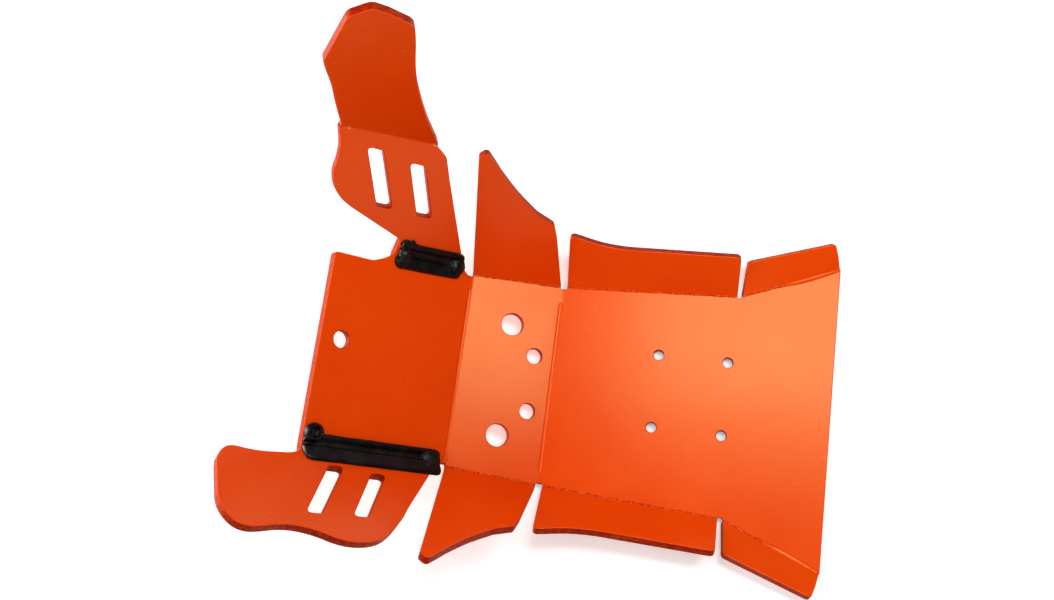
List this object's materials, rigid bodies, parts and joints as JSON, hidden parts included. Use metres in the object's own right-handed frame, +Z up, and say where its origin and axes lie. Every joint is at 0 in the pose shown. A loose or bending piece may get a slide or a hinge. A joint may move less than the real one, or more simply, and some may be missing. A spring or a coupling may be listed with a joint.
{
  "type": "skid plate",
  "caption": "Folded plastic skid plate for an off-road motorcycle: bent floor, splayed side flanges, slotted wings and black weld beads.",
  "frame": {"origin": "centre of the floor panel's flat underside", "axes": "+X towards the rear of the motorcycle, +Y towards the rider's right, +Z up through the floor panel; the inside of the tray looks up"},
  "size_m": [0.5288, 0.4067, 0.3645],
  "materials": {
    "orange_sheet": "satin orange polyethylene sheet with routed edges",
    "black_weld": "glossy black polyethylene extrusion weld"
  },
  "bodies": {
    "root": {"floor_panel": "orange_sheet", "strip_panel": "orange_sheet", "front_panel": "orange_sheet", "fin_flange_right": "orange_sheet", "fin_seam_right": "orange_sheet", "mid_flange_right": "orange_sheet", "mid_seam_right": "orange_sheet", "rear_flange_right": "orange_sheet", "rear_seam_right": "orange_sheet", "fin_flange_left": "orange_sheet", "fin_seam_left": "orange_sheet", "mid_flange_left": "orange_sheet", "mid_seam_left": "orange_sheet", "rear_flange_left": "orange_sheet", "rear_seam_left": "orange_sheet", "ear_blade_right": "orange_sheet", "ear_lobe_right": "orange_sheet", "weld_bead_right": "black_weld", "ear_blade_left": "orange_sheet", "weld_bead_left": "black_weld"}
  },
  "joints": []
}
